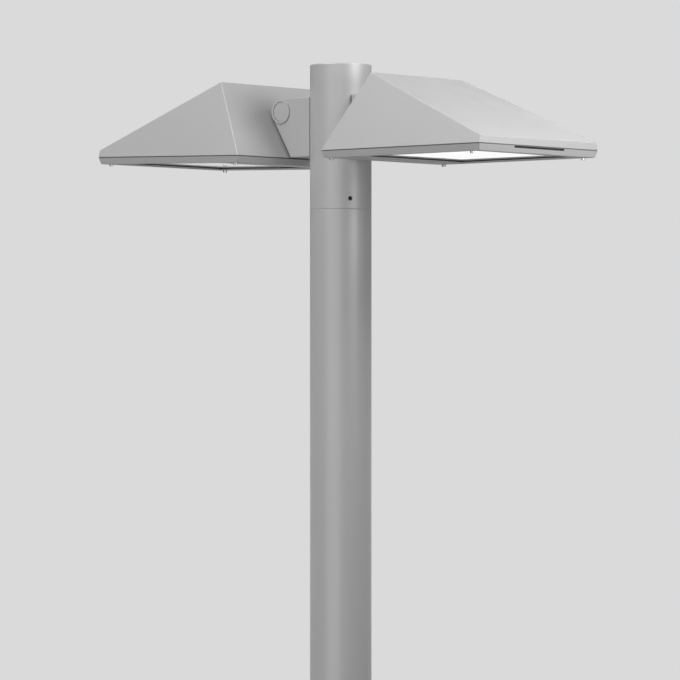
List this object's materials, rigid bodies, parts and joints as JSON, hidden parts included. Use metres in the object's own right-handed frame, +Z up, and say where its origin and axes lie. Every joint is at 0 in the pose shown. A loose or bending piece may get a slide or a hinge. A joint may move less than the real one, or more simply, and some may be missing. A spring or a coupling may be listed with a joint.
{
  "type": "twin-head column-top floodlight",
  "caption": "Round column with a base plate and service door, carrying a turning top fitting with two opposed wedge-shaped, flat-glass floodlight heads on tilting brackets.",
  "frame": {"origin": "centre of the cable entry at the underside of the base plate, where the column stands on its foundation", "axes": "+Z up along the column, +X towards the right head, +Y across the heads, away from the service door"},
  "size_m": [0.8961, 0.316, 3.254],
  "materials": {
    "silver_powder_coat": "fine satin silver-grey powder coat",
    "galvanised_steel": "dull hot-dip zinc",
    "stainless_steel": "bright machined",
    "black_steel": "black oxide",
    "grey_silicone": "matt silicone",
    "brass": "plain machined",
    "black_polymer": "moulded, matt",
    "grey_polymer": "moulded, matt",
    "white_polymer": "moulded, matt",
    "cable_sheath": "smooth black sheath",
    "black_rubber": "matt rubber",
    "bare_aluminium": "extruded, bare",
    "white_board": "white solder mask",
    "clear_lens": "clear moulded optic",
    "white_reflector": "white satin sheet",
    "clear_glass": "flat toughened pane"
  },
  "bodies": {
    "pole": {"base_plate": "galvanised_steel", "pole_tube": "silver_powder_coat", "spigot": "galvanised_steel", "door_crossbars": "galvanised_steel", "equipment_rail": "galvanised_steel", "rail_studs": "galvanised_steel", "fuse_box": "black_polymer", "fuse_box_cover": "grey_polymer", "earth_stud": "brass", "mast_cable": "cable_sheath"},
    "door": {"door_plate": "silver_powder_coat", "door_screws": "stainless_steel"},
    "top": {"top_tube": "silver_powder_coat", "top_cap": "silver_powder_coat", "set_screws": "black_steel", "junction_block": "black_polymer", "junction_plate": "galvanised_steel", "bracket_bolts": "stainless_steel", "pivot_bolts": "stainless_steel", "pivot_caps": "silver_powder_coat", "right_bracket": "silver_powder_coat", "right_bracket_pad": "black_rubber", "right_backing_plate": "galvanised_steel", "right_head_lead": "cable_sheath", "left_bracket": "silver_powder_coat", "left_bracket_pad": "black_rubber", "left_backing_plate": "galvanised_steel", "left_head_lead": "cable_sheath"},
    "right_head": {"right_housing": "silver_powder_coat", "right_friction_discs": "black_rubber", "right_cable_gland": "black_polymer", "right_heat_spreader": "bare_aluminium", "right_led_board": "white_board", "right_led_lenses": "clear_lens", "right_reflector": "white_reflector", "right_gear_tray": "galvanised_steel", "right_driver": "white_polymer", "right_terminal_block": "black_polymer", "right_gear_screws": "stainless_steel"},
    "right_lid": {"right_lid_frame": "silver_powder_coat", "right_lid_gasket": "grey_silicone", "right_glass": "clear_glass", "right_glass_seal": "black_rubber", "right_lid_screws": "stainless_steel"},
    "left_head": {"left_housing": "silver_powder_coat", "left_friction_discs": "black_rubber", "left_cable_gland": "black_polymer", "left_heat_spreader": "bare_aluminium", "left_led_board": "white_board", "left_led_lenses": "clear_lens", "left_reflector": "white_reflector", "left_gear_tray": "galvanised_steel", "left_driver": "white_polymer", "left_terminal_block": "black_polymer", "left_gear_screws": "stainless_steel"},
    "left_lid": {"left_lid_frame": "silver_powder_coat", "left_lid_gasket": "grey_silicone", "left_glass": "clear_glass", "left_glass_seal": "black_rubber", "left_lid_screws": "stainless_steel"}
  },
  "joints": [
    {"name": "door_release", "type": "slide", "parent": "pole", "child": "door", "axis": [0, -1, 0], "range_m": [0, 0.08]},
    {"name": "top_swivel", "type": "hinge", "parent": "pole", "child": "top", "pos_m": [0, 0, 3], "axis": [0, 0, 1], "range_deg": [-180, 180]},
    {"name": "right_tilt", "type": "hinge", "parent": "top", "child": "right_head", "pos_m": [0.1185, 0, 3.1763], "axis": [0, -1, 0], "range_deg": [0, 90]},
    {"name": "left_tilt", "type": "hinge", "parent": "top", "child": "left_head", "pos_m": [-0.1185, 0, 3.1763], "axis": [0, 1, 0], "range_deg": [-1.5, 88.5]},
    {"name": "right_lid_release", "type": "slide", "parent": "right_head", "child": "right_lid", "axis": [0, 0, -1], "range_m": [0, 0.1]},
    {"name": "left_lid_release", "type": "slide", "parent": "left_head", "child": "left_lid", "axis": [-0.0262, 0, -0.9997], "range_m": [0, 0.1]}
  ]
}
